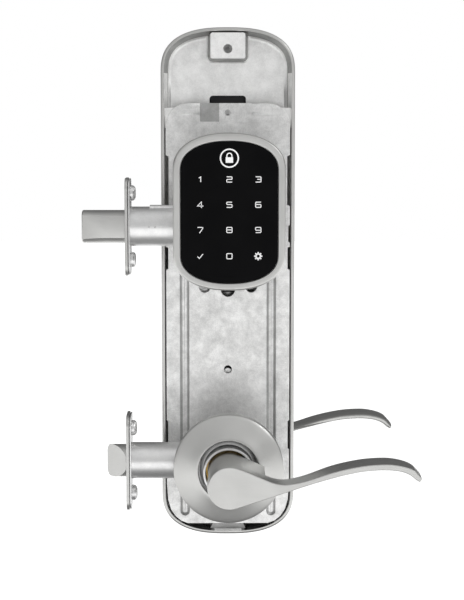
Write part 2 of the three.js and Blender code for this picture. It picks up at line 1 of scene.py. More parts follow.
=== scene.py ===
# %% [markdown]
# # A keypad smart lock, dressed for the camera
# The working model of this lock comes from a CAD frame: every node is in its place, in metres.
# Here each visible piece gets a finer mesh or a better finish. We start by loading the frame and
# keeping its size, because nothing that follows may change it.

# %% Load the frame
import json
import math
import bpy
import bmesh
from mathutils import Matrix, Vector


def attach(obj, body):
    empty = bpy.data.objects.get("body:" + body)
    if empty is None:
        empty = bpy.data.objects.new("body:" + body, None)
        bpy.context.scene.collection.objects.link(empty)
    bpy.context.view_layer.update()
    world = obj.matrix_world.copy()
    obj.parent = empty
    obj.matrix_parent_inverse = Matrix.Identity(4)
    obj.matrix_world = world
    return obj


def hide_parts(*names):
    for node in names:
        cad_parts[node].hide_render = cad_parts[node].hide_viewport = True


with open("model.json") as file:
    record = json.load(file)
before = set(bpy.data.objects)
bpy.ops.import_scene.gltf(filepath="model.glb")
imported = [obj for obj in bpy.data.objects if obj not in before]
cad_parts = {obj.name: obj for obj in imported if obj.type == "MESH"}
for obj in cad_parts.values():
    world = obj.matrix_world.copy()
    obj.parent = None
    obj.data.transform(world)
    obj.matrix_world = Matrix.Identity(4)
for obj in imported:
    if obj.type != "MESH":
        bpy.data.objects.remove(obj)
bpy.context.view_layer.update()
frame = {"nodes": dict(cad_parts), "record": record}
MM = 0.001

# %% [markdown]
# ## The camera
# A product camera stands about a metre in front of the door, a little above the keypad, and looks
# slightly down. A long lens keeps the tall housing straight. We set it first, so that every later
# piece can be judged from the same place.

# %% Camera
camera_data = bpy.data.cameras.new("product_camera")
camera_data.sensor_width = 36
camera_data.lens = 101.44
camera_data.clip_end = 20
camera = bpy.data.objects.new("product_camera", camera_data)
bpy.context.scene.collection.objects.link(camera)
camera.location = (-0.0076, -0.9944, 0.2021)
tilt_down, turn_right = 0.1062, 0.0099
camera.rotation_euler = (math.pi / 2 - tilt_down, 0, -turn_right)
bpy.context.scene.camera = camera
print("lens", camera_data.lens)

# %% [markdown]
# ## Colours and nodes
# Colours are written as the sRGB hex values a designer would use, and one function turns them
# into the linear values that shaders work in. A second small function adds a node, fills in its
# settings and makes its links, so a material reads as a list of steps. An input is named in full,
# or by its number where several share a name: i3 is input number 3.

# %% Colour and node helpers
def linear(hex_colour):
    parts = [int(hex_colour[i:i + 2], 16) / 255 for i in (1, 3, 5)]
    return [c / 12.92 if c <= 0.04045 else ((c + 0.055) / 1.055) ** 2.4 for c in parts] + [1.0]


def add(tree, kind, settings=None, **inputs):
    """Adds a node; an input that is given another node's output is linked, any other is set."""
    node = tree.nodes.new("ShaderNode" + kind)
    for key, value in (settings or {}).items():
        setattr(node, key, value)
    for key, value in inputs.items():
        name = key.replace("_", " ")
        socket = node.inputs[name] if name in node.inputs else node.inputs[int(key.strip("i"))]
        if isinstance(value, bpy.types.NodeSocket):
            tree.links.new(value, socket)
        else:
            socket.default_value = value
    return node


def new_material(name):
    material = bpy.data.materials.new(name)
    material.use_nodes = True
    material.node_tree.nodes.clear()
    return material, material.node_tree


def ramp(tree, value, stops):
    node = add(tree, "ValToRGB", Fac=value)
    while len(node.color_ramp.elements) < len(stops):
        node.color_ramp.elements.new(0.5)
    for element, (place, colour) in zip(node.color_ramp.elements, stops):
        element.position = place
        element.color = linear(colour) if isinstance(colour, str) else [colour] * 3 + [1.0]
    return node.outputs["Color"]


def output(tree, shader):
    tree.links.new(shader.outputs[0], add(tree, "OutputMaterial").inputs["Surface"])


def place(tree, scale=(1, 1, 1)):
    """Object coordinates in metres, stretched: a scale of 1000 makes one unit of pattern 1 mm."""
    coordinates = add(tree, "TexCoord").outputs["Object"]
    return add(tree, "Mapping", Vector=coordinates, Scale=scale).outputs["Vector"]


print("satin nickel in linear light:", [round(c, 3) for c in linear("#c4c4c2")[:3]])

# %% [markdown]
# ## Satin nickel
# The keypad frame and the levers are die-cast zinc, the rose and the faceplates are sheet. All are
# brushed and then plated with nickel. Brushing leaves long fine lines that all run the same way, so
# the noise is stretched along X: about 0.3 mm across the lines and 14 mm along them. Real lines are
# finer, near 0.05 mm, and are drawn coarser here so that they show. The lines change the roughness
# and a little of the height.

# %% Satin nickel
def brushed_metal(name, base, tint, roughness, line_mm=0.3, length_mm=14.0, depth=0.09):
    material, tree = new_material(name)
    across, run = 1000 / line_mm, 1000 / length_mm
    stretched = place(tree, (run, across, across))
    lines = add(tree, "TexNoise", Vector=stretched, Scale=1.0, Detail=3.0).outputs["Fac"]
    cloud = add(tree, "TexNoise", Vector=place(tree, (1000,) * 3), Scale=0.06, Detail=2.0).outputs["Fac"]
    colour = ramp(tree, cloud, [(0.3, base), (0.7, tint)])
    rough = add(tree, "MapRange", Value=lines, i1=0.3, i2=0.7, i3=roughness - 0.05, i4=roughness + 0.07)
    bump = add(tree, "Bump", Height=lines, Strength=depth, Distance=0.0001)
    shader = add(tree, "BsdfPrincipled", Base_Color=colour, Metallic=1.0, Roughness=rough.outputs[0],
                 Normal=bump.outputs[0])
    output(tree, shader)
    return material


satin_nickel = brushed_metal("satin nickel", "#bfbfbd", "#c7c7c5", 0.34)
print("made", satin_nickel.name)

# %% [markdown]
# ## Zinc-plated steel and raw die-cast zinc
# The mounting plate is cold-rolled steel with a bright zinc coat. Plating and handling leave soft
# cloudy patches, about 9 mm across, of slightly different grey and gloss. The tray behind it is
# die-cast zinc left as it came out of the die: paler, more matt, with the flow marks of the metal.
# Both use two sizes of noise: a grain of 0.6 mm breaks up the edges of the patches. The small
# plated parts are brighter, with patches 20 mm across.

# %% Cloudy zinc finishes
def cloudy_zinc(name, dark, middle, light, roughness, patch_mm=9.0, grain_mm=0.6):
    material, tree = new_material(name)
    patches = add(tree, "TexNoise", Vector=place(tree, (1000 / patch_mm,) * 3), Scale=1.0, Detail=8.0,
                  Roughness=0.75).outputs["Fac"]
    grain = add(tree, "TexNoise", Vector=place(tree, (1000 / grain_mm,) * 3), Scale=1.0,
                Detail=2.0).outputs["Fac"]
    mixed = add(tree, "Math", {"operation": "MULTIPLY_ADD"}, i0=grain, i1=0.3, i2=patches).outputs[0]
    colour = ramp(tree, mixed, [(0.5, dark), (0.65, middle), (0.8, light)])
    rough = add(tree, "MapRange", Value=patches, i1=0.35, i2=0.65, i3=roughness + 0.08, i4=roughness - 0.04)
    bump = add(tree, "Bump", Height=grain, Strength=0.12, Distance=0.0001)
    shader = add(tree, "BsdfPrincipled", Base_Color=colour, Metallic=1.0, Roughness=rough.outputs[0],
                 Normal=bump.outputs[0])
    output(tree, shader)
    return material


zinc_plate = cloudy_zinc("zinc-plated steel sheet", "#d2d2d1", "#e4e4e3", "#f6f6f5", 0.44)
# A darker copy of the sheet finish, used as painted shade in the plate's recesses.
painted_shade_zinc = cloudy_zinc("zinc-plated steel sheet, painted shade", "#a4a4a3", "#b0b0af", "#bababa", 0.5)
cast_zinc = cloudy_zinc("die-cast zinc, as cast", "#e6e6e5", "#f0f0ef", "#fafaf9", 0.5, patch_mm=8.0)
# A darker copy of the cast finish, used as painted shade on the housing's steep walls and foot.
painted_shade_cast_zinc = cloudy_zinc("die-cast zinc, painted wall shade", "#8f8f8e", "#999998", "#a4a4a3", 0.42)
bright_zinc = cloudy_zinc("bright zinc-plated steel", "#dadad9", "#e2e2e2", "#eaeae9", 0.33, patch_mm=20.0)
print("made", zinc_plate.name, "and", cast_zinc.name)

# %% [markdown]
# ## Black touch lens, print, plastics and rubber
# The keypad lens is moulded polycarbonate, black all through, with a scratch-resistant hard coat:
# a dielectric of IOR 1.58 with a low roughness that varies a little with handling. The numbers are
# a white print behind that coat. The rest are moulded ABS and a soft black EPDM gasket.

# %% Plastics and rubber
def moulded(name, base, tint, roughness, grain_mm=0.4, bump_strength=0.1, ior=1.5, specular=0.5):
    material, tree = new_material(name)
    grain = add(tree, "TexNoise", Vector=place(tree, (1000 / grain_mm,) * 3), Scale=1.0,
                Detail=3.0).outputs["Fac"]
    cloud = add(tree, "TexNoise", Vector=place(tree, (1000 / 18,) * 3), Scale=1.0, Detail=2.0).outputs["Fac"]
    colour = ramp(tree, cloud, [(0.35, base), (0.65, tint)])
    rough = add(tree, "MapRange", Value=cloud, i1=0.3, i2=0.7, i3=roughness - 0.03, i4=roughness + 0.05)
    bump = add(tree, "Bump", Height=grain, Strength=bump_strength, Distance=0.00005)
    shader = add(tree, "BsdfPrincipled", Base_Color=colour, Roughness=rough.outputs[0], IOR=ior,
                 Specular_IOR_Level=specular, Normal=bump.outputs[0])
    output(tree, shader)
    return material


black_lens = moulded("hard-coated black polycarbonate", "#0a0a0b", "#0d0d0e", 0.3,
                     bump_strength=0.02, ior=1.58, specular=0.03)
white_print = moulded("white screen print", "#f4f4f4", "#ffffff", 0.5, grain_mm=0.2)
black_abs = moulded("black ABS", "#17171a", "#1f1f22", 0.5)
rubber = moulded("black EPDM rubber", "#141415", "#1c1c1d", 0.75, grain_mm=0.7, bump_strength=0.3)
print("made", black_lens.name)

# %% [markdown]
# ## The rest of the finishes
# Brass for the bushing and gears, a green solder mask on the circuit boards with copper tracks
# under it, and a dark printed sleeve on the cells. The boards get a brick pattern whose courses
# are 1.2 mm apart, which reads as rows of tracks.

# %% Brass, circuit board and cell sleeve
brass = brushed_metal("turned brass", "#c9a253", "#d0ab5e", 0.3, length_mm=4.0)
steel = brushed_metal("turned steel", "#a9a9a8", "#b3b3b2", 0.3, length_mm=3.0)


def circuit_board_finish():
    material, tree = new_material("solder mask on glass-fibre board")
    flat = add(tree, "TexCoord").outputs["Object"]
    turned_flat = add(tree, "Mapping", Vector=flat, Rotation=(math.pi / 2, 0, 0), Scale=(1000, 1000, 1000))
    tracks = add(tree, "TexBrick", Vector=turned_flat.outputs[0], Scale=1.0, Color1=linear("#15532c"),
                 Color2=linear("#1c6136"), Mortar=linear("#0e3d20"))
    tracks.inputs["Brick Width"].default_value = 4.5
    tracks.inputs["Row Height"].default_value = 1.2
    tracks.inputs["Mortar Size"].default_value = 0.2
    bump = add(tree, "Bump", Height=tracks.outputs["Fac"], Strength=0.2, Distance=0.0001)
    shader = add(tree, "BsdfPrincipled", Base_Color=tracks.outputs["Color"], Roughness=0.38,
                 Normal=bump.outputs[0])
    output(tree, shader)
    return material


circuit_board = circuit_board_finish()
cell_sleeve = moulded("dark cell sleeve", "#26282c", "#33363b", 0.35)
print("finishes:", len(bpy.data.materials))

# %% [markdown]
# ## Outlines
# Almost every piece of this lock is an outline with thickness. `capped` gives the keypad and the
# housing their shape: straight sides closed by two superellipses, fuller than a plain arc.
# `rounded` is for sheets and slots, and `inset` moves an outline inwards, which rounds an edge
# when it is done in small steps.

# %% Outline helpers, all in millimetres
def capped(x, half, low, high, cap, power, steps=40):
    points = []
    for centre, sign in ((high - cap, 1), (low + cap, -1)):
        for i in range(steps + 1):
            c, s = math.cos(math.pi * i / steps), math.sin(math.pi * i / steps)
            across = math.copysign(abs(c) ** (2 / power), c)
            points.append((x + sign * half * across, centre + sign * cap * s ** (2 / power)))
    return points


def rounded(x0, x1, z0, z1, corner, steps=6):
    right, left, upper, lower = x1 - corner, x0 + corner, z1 - corner, z0 + corner
    centres = [(right, upper), (left, upper), (left, lower), (right, lower)]
    points = []
    for quarter, (x, z) in enumerate(centres):
        for i in range(steps + 1):
            turn = (quarter + i / steps) * math.pi / 2
            points.append((x + corner * math.cos(turn), z + corner * math.sin(turn)))
    return points


def circle(radius, x=0.0, z=0.0, steps=32):
    return [(x + radius * math.cos(2 * math.pi * i / steps), z + radius * math.sin(2 * math.pi * i / steps))
            for i in range(steps)]


def inset(points, by):
    """Moves each point of a closed anticlockwise outline inwards, at right angles to the outline."""
    result, count = [], len(points)
    for i, (x, z) in enumerate(points):
        before, after = points[i - 1], points[(i + 1) % count]
        dx, dz = after[0] - before[0], after[1] - before[1]
        length = math.hypot(dx, dz) or 1.0
        result.append((x - by * dz / length, z + by * dx / length))
    return result


print("keypad outline has", len(capped(0, 31.75, 106, 195, 20.5, 2.25)), "points")

# %% [markdown]
# ## From outlines to solids
# `loft` joins rings of points into a closed skin, `turned` is a lathe, and `sheet_metal` fills a
# curve and gives it a rounded edge. Real parts are cut and joined, so `boolean` does that with a
# second mesh and applies it at once. Square-on faces stay flat shaded and a weighted-normal
# modifier keeps them flat beside their rounded edges.

# %% Mesh helpers
SHARP_DEGREES, SAME_PLACE, SQUARE_ON = 32, 1e-7, 0.99999


def finished(name, mesh):
    """Cleans a mesh, sets its shading, and makes it an object."""
    cleaner = bmesh.new()
    cleaner.from_mesh(mesh)
    bmesh.ops.remove_doubles(cleaner, verts=cleaner.verts, dist=SAME_PLACE)
    bmesh.ops.dissolve_degenerate(cleaner, edges=cleaner.edges, dist=SAME_PLACE)
    bmesh.ops.recalc_face_normals(cleaner, faces=cleaner.faces)
    cleaner.to_mesh(mesh)
    cleaner.free()
    square_on = [max(abs(n) for n in face.normal) > SQUARE_ON for face in mesh.polygons]
    mesh.polygons.foreach_set("use_smooth", [not flat for flat in square_on])
    mesh.set_sharp_from_angle(angle=math.radians(SHARP_DEGREES))
    piece = bpy.data.objects.new(name, mesh)
    bpy.context.scene.collection.objects.link(piece)
    weighted = piece.modifiers.new("flat faces stay flat", "WEIGHTED_NORMAL")
    weighted.keep_sharp = True
    return piece


def loft(name, rings, ring_closed=False):
    """Joins rings of (x, y, z) points, in mm. Both ends are filled unless the loft closes on itself."""
    count = len(rings[0])
    points = [Vector(p) * MM for ring in rings for p in ring]
    faces = []
    for a in range(len(rings) if ring_closed else len(rings) - 1):
        b = (a + 1) % len(rings)
        for i in range(count):
            j = (i + 1) % count
            faces.append((a * count + i, a * count + j, b * count + j, b * count + i))
    if not ring_closed:
        faces.append(tuple(reversed(range(count))))
        faces.append(tuple(range((len(rings) - 1) * count, len(rings) * count)))
    mesh = bpy.data.meshes.new(name)
    mesh.from_pydata(points, [], faces)
    return finished(name, mesh)


def turned(name, profile, axis="y", centre=(0, 0, 0), steps=72, ring_closed=False):
    """A lathe: (radius, distance) pairs turned about an axis parallel to X or Y through centre."""
    rings = []
    for radius, distance in profile:
        ring = []
        for i in range(steps):
            c, s = radius * math.cos(2 * math.pi * i / steps), radius * math.sin(2 * math.pi * i / steps)
            offset = {"x": (distance, c, s), "y": (c, distance, s)}[axis]
            ring.append(tuple(o + e for o, e in zip(offset, centre)))
        rings.append(ring)
    return loft(name, rings, ring_closed)


def swept_y(name, outline, stations):
    """An outline in X and Z carried along Y; stations are (y, inset) pairs."""
    return loft(name, [[(x, y, z) for x, z in inset(outline, by)] for y, by in stations])


def rounded_stations(y0, y1, edge0, edge1, steps=4):
    """Stations for a slab from y0 to y1 whose two ends are rounded to the radii edge0 and edge1."""
    front = [(y0 + edge0 * (1 - math.sin(t)), edge0 * (1 - math.cos(t)))
             for t in [math.pi / 2 * (1 - i / steps) for i in range(steps + 1)]]
    back = [(y1 - edge1 * (1 - math.sin(t)), edge1 * (1 - math.cos(t)))
            for t in [math.pi / 2 * i / steps for i in range(steps + 1)]]
    return front + back


def boolean(piece, tool, operation="DIFFERENCE"):
    """Cuts or joins with a second mesh, applies it, and throws the second mesh away."""
    step = piece.modifiers.new("step", "BOOLEAN")
    step.operation, step.object, step.solver = operation, tool, "EXACT"
    graph = bpy.context.evaluated_depsgraph_get()
    # The weighted normals are switched off here and made again by finished().
    piece.modifiers[0].show_viewport = False
    graph.update()
    mesh = bpy.data.meshes.new_from_object(piece.evaluated_get(graph))
    name = piece.name
    bpy.data.objects.remove(tool)
    bpy.data.objects.remove(piece)
    return finished(name, mesh)


def sheet_metal(name, outline, holes, start, thick, edge=0.25, plane="y"):
    """A flat sheet with rounded edges, from a filled curve: thickness runs along Y, or along X."""
    curve = bpy.data.curves.new(name, "CURVE")
    curve.dimensions, curve.fill_mode = "2D", "BOTH"
    for loop in [outline] + holes:
        spline = curve.splines.new("POLY")
        spline.points.add(len(loop) - 1)
        for target, (a, b) in zip(spline.points, loop):
            target.co = (a * MM, b * MM, 0, 1)
        spline.use_cyclic_u = True
    curve.extrude, curve.bevel_depth, curve.bevel_resolution = (thick / 2 - edge) * MM, edge * MM, 2
    curve.offset = -edge * MM
    maker = bpy.data.objects.new(name, curve)
    bpy.context.scene.collection.objects.link(maker)
    mesh = bpy.data.meshes.new_from_object(maker.evaluated_get(bpy.context.evaluated_depsgraph_get()))
    bpy.data.objects.remove(maker)
    middle = (start + thick / 2) * MM
    if plane == "y":
        mesh.transform(Matrix(((1, 0, 0, 0), (0, 0, 1, middle), (0, 1, 0, 0), (0, 0, 0, 1))))
    else:
        mesh.transform(Matrix(((0, 0, 1, middle), (1, 0, 0, 0), (0, 1, 0, 0), (0, 0, 0, 1))))
    return finished(name, mesh)


def box_tool(x0, x1, y0, y1, z0, z1):
    return loft("tool", [[(x0, y, z0), (x1, y, z0), (x1, y, z1), (x0, y, z1)] for y in (y0, y1)])


def second_finish(piece, material, chosen):
    """Gives another finish to the faces whose centre, in mm, the test chooses."""
    piece.data.materials.append(material)
    for face in piece.data.polygons:
        if chosen(face.center / MM):
            face.material_index = 1


def dress(piece, body, material, slot, *nodes):
    """Gives a piece its finish, its body and the CAD nodes it stands for."""
    piece.data.materials.clear()
    piece.data.materials.append(material)
    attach(piece, body)
    if nodes:
        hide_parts(*nodes)
    return piece


print("helpers ready")

# %% [markdown]
# ## Keypad housing
# The outside keypad is a die-cast frame with a crowned front rim: a straight wall, a soft roll of
# about 1.5 mm at the front edge, a narrow flat and a small step down to the black lens. Its
# section is carried round the outline by the stations of a loft, outside first and then back down
# the inside. A soft gasket seals it against the door.

# %% Keypad housing
keypad_x, keypad_back, keypad_front = 0.3, -23.5, -44.1
lens_seat, frame_floor = -41.4, -37
keypad_outline = capped(keypad_x, 31.75, 105.95, 194.85, 20.5, 2.25)
lens_outline = capped(keypad_x, 27.5, 110.2, 190.2, 16.2, 2.25)


def keypad_housing():
    outside = [(keypad_back, 0.3), (keypad_back - 0.4, 0.0)]
    outside += [(keypad_front + 1.6 * (1 - math.sin(t)), 1.4 * (1 - math.cos(t)))
                for t in [math.pi / 2 * i / 8 for i in range(9)]]
    rings = [[(x, y, z) for x, z in inset(keypad_outline, by)] for y, by in outside]
    step_down = [(keypad_front, 0.75), (keypad_front + 0.12, 0.4), (keypad_front + 0.6, 0.25),
                 (lens_seat, 0.25)]
    for y, grow in step_down:
        rings.append([(x, y, z) for x, z in inset(lens_outline, -grow)])
    rings.append([(x, lens_seat, z) for x, z in inset(lens_outline, 2.4)])
    rings.append([(x, frame_floor, z) for x, z in inset(lens_outline, 2.4)])
    rings.append([(x, frame_floor, z) for x, z in inset(keypad_outline, 2.4)])
    rings.append([(x, keypad_back, z) for x, z in inset(keypad_outline, 2.2)])
    return loft("keypad_frame", rings, ring_closed=True)


dress(keypad_housing(), "fixed_set", satin_nickel, "satin_nickel", "keypad_housing")
lens = swept_y("keypad_touch_lens", lens_outline, rounded_stations(-43.85, -41.8, 0.35, 0.2))
dress(lens, "fixed_set", black_lens, "black_lens", "keypad_lens")
gasket_outside, gasket_inside = inset(keypad_outline, 0.8), inset(keypad_outline, 4.8)
gasket = sheet_metal("keypad_gasket_ring", gasket_outside, [gasket_inside], -23.2, 1.0, 0.2)
dress(gasket, "fixed_set", rubber, "rubber", "keypad_gasket")
print("keypad frame, lens and gasket")

# %% [markdown]
# ## Numbers on the lens
# The print is a plain square lettering. Each stroke is a ribbon: a centre line given width, with
# its corners cut short so that they look rounded. A digit is a few such ribbons on a 1 by 1 grid,
# scaled to 3 mm. A tick and a cog stand for "enter" and "settings".

# %% Ribbons and digits
PRINT_FRONT = -43.9


def softened(path, cut=0.16, closed=False):
    """Replaces each corner of a path by three points, which rounds it."""
    corners = path if closed else path[1:-1]
    result = [] if closed else [path[0]]
    count = len(path)
    for k, corner in enumerate(corners):
        i = k if closed else k + 1
        before, after = Vector(path[i - 1]), Vector(path[(i + 1) % count])
        here = Vector(corner)
        first = here + (before - here).normalized() * min(cut, (before - here).length / 2)
        last = here + (after - here).normalized() * min(cut, (after - here).length / 2)
        middle = (first + last) / 4 + here / 2
        result += [tuple(first), tuple(middle), tuple(last)]
    return result if closed else result + [path[-1]]


def ribbon(path, width, closed=False):
    """The left and right edge of a path, as quads of (x, z) points."""
    count, left, right = len(path), [], []
    for i in range(count):
        before = Vector(path[i - 1]) if closed or i > 0 else Vector(path[0])
        after = Vector(path[(i + 1) % count]) if closed or i < count - 1 else Vector(path[-1])
        here = Vector(path[i])
        ways = [w.normalized() for w in (here - before, after - here) if w.length > 1e-6]
        way = sum(ways, Vector((0, 0))).normalized()
        side = Vector((-way.y, way.x))
        stretch = width / 2 / max(0.5, side.dot(Vector((-ways[0].y, ways[0].x))))
        left.append(here + side * stretch)
        right.append(here - side * stretch)
    last = count if closed else count - 1
    return [(left[i], left[(i + 1) % count], right[(i + 1) % count], right[i]) for i in range(last)]


def printed(name, quads):
    """Thin flat print on the lens: every quad becomes a 0.06 mm thick tile."""
    mesh = bpy.data.meshes.new(name)
    builder = bmesh.new()
    for quad in quads:
        front = [builder.verts.new((p[0] * MM, PRINT_FRONT * MM, p[1] * MM)) for p in quad]
        builder.faces.new(front)
    bmesh.ops.remove_doubles(builder, verts=builder.verts, dist=2e-6)
    grown = bmesh.ops.extrude_face_region(builder, geom=builder.faces[:])
    for vert in [g for g in grown["geom"] if isinstance(g, bmesh.types.BMVert)]:
        vert.co.y += 0.06 * MM
    builder.to_mesh(mesh)
    builder.free()
    return finished(name, mesh)


ring_path = [(0, 0), (1, 0), (1, 1), (0, 1)]
digits = {
    "0": [(ring_path, True)],
    "1": [([(0.28, 0.76), (0.62, 1.0), (0.62, 0.0)], False)],
    "2": [([(0, 1), (1, 1), (1, 0.52), (0, 0.52), (0, 0), (1.02, 0)], False)],
    "3": [([(0, 1), (1, 1), (1, 0), (0, 0)], False), ([(0.3, 0.52), (0.88, 0.52)], False)],
    "4": [([(0.74, -0.1), (0.74, 1.05), (0.0, 0.26), (1.1, 0.26)], False)],
    "5": [([(1, 1), (0, 1), (0, 0.55), (1, 0.55), (1, 0), (0, 0)], False)],
    "6": [([(0.98, 1), (0, 1), (0, 0), (1, 0), (1, 0.55), (0.12, 0.55)], False)],
    "7": [([(0, 1), (1, 1), (1, 0.82), (0.36, -0.1)], False)],
    "8": [(ring_path, True), ([(0.12, 0.52), (0.88, 0.52)], False)],
    "9": [([(0.88, 0.45), (0, 0.45), (0, 1), (1, 1), (1, 0), (0.02, 0)], False)],
    "tick": [([(-0.02, 0.42), (0.34, 0.08), (1.02, 0.92)], False)],
}


def draw_symbol(name, x, z, wide=3.0, tall=2.95, stroke=0.48):
    quads = []
    for path, closed in digits[name]:
        soft = softened(path, closed=closed) if name not in ("4", "tick", "1") else path
        scaled = [(x + (a - 0.5) * wide, z + (b - 0.5) * tall) for a, b in soft]
        quads += ribbon(scaled, stroke, closed)
    return quads


print("symbols:", ", ".join(digits))

# %% [markdown]
# ## The printed keypad
# Twelve marks stand in three columns and four rows. The cog is a ring with eight short teeth, made
# of the same ribbons. Above the keys a closed padlock in a ring shows what the lens is for.

# %% Print the keypad
columns, rows = (-16.1, 0.35, 16.6), (168.8, 154.6, 140.4, 125.6)
layout = (("1", "2", "3"), ("4", "5", "6"), ("7", "8", "9"), ("tick", "0", None))
for row, names in zip(rows, layout):
    for column, name in zip(columns, names):
        if name:
            piece = printed("key_" + name, draw_symbol(name, column, row))
            dress(piece, "fixed_set", white_print, "black_lens")


def arc(radius, start, end, steps, x, z):
    return [(x + radius * math.cos(start + (end - start) * i / steps),
             z + radius * math.sin(start + (end - start) * i / steps)) for i in range(steps + 1)]


cog_x, cog_z = columns[2], rows[3]
cog = ribbon(circle(1.3, cog_x, cog_z, 24), 0.85, True)
for k in range(8):
    c, s = math.cos(k * math.pi / 4), math.sin(k * math.pi / 4)
    cog += ribbon([(cog_x + 1.55 * c, cog_z + 1.55 * s), (cog_x + 2.3 * c, cog_z + 2.3 * s)], 0.8)
dress(printed("key_cog", cog), "fixed_set", white_print, "black_lens")

mark_x, mark_z = 0.35, 180.7
body_half, body_top, body_base, shackle_half = 2.1, mark_z + 0.5, mark_z - 2.6, 1.4
mark = ribbon(circle(5.0, mark_x, mark_z, 48), 0.8, True)
mark += [((mark_x - body_half, body_top), (mark_x + body_half, body_top),
          (mark_x + body_half, body_base), (mark_x - body_half, body_base))]
bow = arc(shackle_half, 0, math.pi, 10, mark_x, mark_z + shackle_half)
shackle = [(mark_x + shackle_half, body_top)] + bow + [(mark_x - shackle_half, body_top)]
mark += ribbon(shackle, 0.65)
dress(printed("lock_mark", mark), "fixed_set", white_print, "black_lens")
print("printed 12 keys and a padlock")

# %% [markdown]
# ## Rose, collar and bushing
# The rose is spun from sheet: a turned edge, a shallow dome and a rolled lip round the opening.
# Inside the lip stands the bright collar that carries the lever, with a thin brass bushing in it.
# All three are lathe profiles, turned in finer steps than the CAD frame's. The room side has the
# same collar, turned round.

# %% Outside rose, collar and bushing
rose_profile = [(32.1, -22.2), (32.1, -26.3), (31.9, -26.9), (31.3, -27.4), (30.2, -28.0), (28.0, -29.0),
                (25.0, -30.3), (22.5, -31.4), (20.6, -32.3), (19.3, -32.9), (18.4, -33.2), (17.8, -33.1),
                (17.5, -32.7), (17.5, -31.8), (19.5, -31.2), (24.8, -29.0), (30.6, -26.4), (30.9, -25.6),
                (30.9, -22.2)]
rose = turned("outside_rose", rose_profile, steps=128, ring_closed=True)
dress(rose, "fixed_set", satin_nickel, "satin_nickel", "exterior_rose")


def collar_profile(front, back, flange):
    toward = 1 if back > front else -1
    return [(13.4, front + 0.3 * toward), (13.6, front), (14.4, front), (14.7, front + 0.35 * toward),
            (14.7, flange - 0.6 * toward), (16.8, flange), (16.8, back), (13.4, back)]


outside_collar = turned("outside_collar", collar_profile(-39.5, -24.7, -26.8), steps=96, ring_closed=True)
dress(outside_collar, "fixed_set", bright_zinc, "steel", "exterior_collar")
bushing_profile = [(12.3, -29.6), (13.1, -29.6), (13.1, -27), (12.3, -27)]
bushing = turned("outside_bushing", bushing_profile, steps=96, ring_closed=True)
dress(bushing, "fixed_set", brass, "brass", "exterior_bushing")
room_collar = turned("room_collar", collar_profile(61.9, 48, 49.6), steps=96, ring_closed=True)
dress(room_collar, "fixed_set", bright_zinc, "steel", "interior_collar")
print("rose and collars")

# %% [markdown]
# ## The lever's outline
# The lever is cast in one piece: a round hub block, and a wave-shaped arm that sweeps from it.
# Seen from the front it is one outline: an arc round the hub, a smooth curve along the underside,
# a tighter one round the tip, and a smooth curve back along the top.

# %% Lever outline
def spline(points, steps=5):
    """A Catmull-Rom curve through the points, without its first and last."""
    result = []
    for i in range(1, len(points) - 2):
        p0, p1, p2, p3 = (Vector(points[i + k]) for k in (-1, 0, 1, 2))
        for k in range(steps):
            t = k / steps
            result.append(tuple(0.5 * (2 * p1 + (p2 - p0) * t + (2 * p0 - 5 * p1 + 4 * p2 - p3) * t * t
                                       + (3 * p1 - p0 - 3 * p2 + p3) * t ** 3)))
    return result + [tuple(points[-2])]


HUB = 12.0
underside = [(20, -6.1), (44, 1.8), (56, 5.3), (66, 7.9), (76, 9.6), (86, 10.1), (94, 9.4), (99.5, 7.4),
             (103, 4.6), (104.5, 3.6)]
tip_curve = [(103, 4.6), (104.5, 3.6), (105.9, 4.2), (105.9, 6.0), (103.4, 9.0)]
topside = [(105.9, 6.0), (103.4, 9.0), (99, 11.4), (92.5, 13.0), (85.9, 13.5), (76, 12.9), (66, 11.2),
           (56, 8.7), (46, 5.4), (39.7, 3.6), (33, 2.4), (28, 2.4), (23.2, 3.6), (16.6, 6.3), (10, 9.2),
           (4.2, 11.2), (-2, 12)]
hub_start, hub_end = math.atan2(11.2, 4.2), 1.5 * math.pi + 0.32
hub_arc = arc(HUB, hub_start, hub_end, 36, 0, 0)
lever_outline = hub_arc + spline([hub_arc[-1], *underside])
lever_outline += spline(tip_curve, 4)[1:] + spline(topside)[1:-1]
print("lever outline:", len(lever_outline), "points")

# %% [markdown]
# ## The lever's solid
# The outline is carried along Y. The stations round its edges and swell its top and bottom into a
# slight crown, and the arm's back moves away from its front along its length. The hub block is the
# same outline, deeper, cut off near the hub, and a turned neck goes into the collar. The room
# lever is the same casting mirrored front to back, farther from the door by the housing's depth.

# %% Lever solids
LEVER_FRONT, ROOM_MIRROR, NECK_RADIUS = -80, 22.4, 11.85


def arm_back(x):
    """The Y of the arm's back face, in mm, at a distance x from the hub; it moves over 45 mm."""
    t = min(1.0, max(0.0, (x - 20) / 45))
    return -64.2 + 6.4 * t * t * (3 - 2 * t)


def lever_piece(name, mirrored):
    def at(x, y, z):
        return (x, ROOM_MIRROR - y if mirrored else y, z)

    rings = []
    for share, by in ((0, 0.55), (0.006, 0.26), (0.018, 0.08), (0.035, 0.0), (0.3, -0.3), (0.5, -0.42),
                      (0.7, -0.3), (0.88, 0.05), (0.94, 0.3), (0.98, 0.65), (1.0, 1.1)):
        shifted = inset(lever_outline, by)
        rings.append([at(x, LEVER_FRONT + share * (arm_back(x) - LEVER_FRONT), z) for x, z in shifted])
    arm = loft(name, rings)
    block_rings = [[at(x, y, z) for x, z in inset(lever_outline, by)] for y, by in
                   ((-78.6, 0.06), (-41.2, 0.06), (-40.5, 0.5))]
    block = boolean(loft("block", block_rings), box_tool(20.3, 130, -120, 120, -60, 60))
    neck_ends = [ROOM_MIRROR - y if mirrored else y for y in (-46, -28)]
    neck = turned("neck", [(NECK_RADIUS, y) for y in neck_ends], steps=72)
    arm = boolean(arm, block, "UNION")
    return boolean(arm, neck, "UNION")


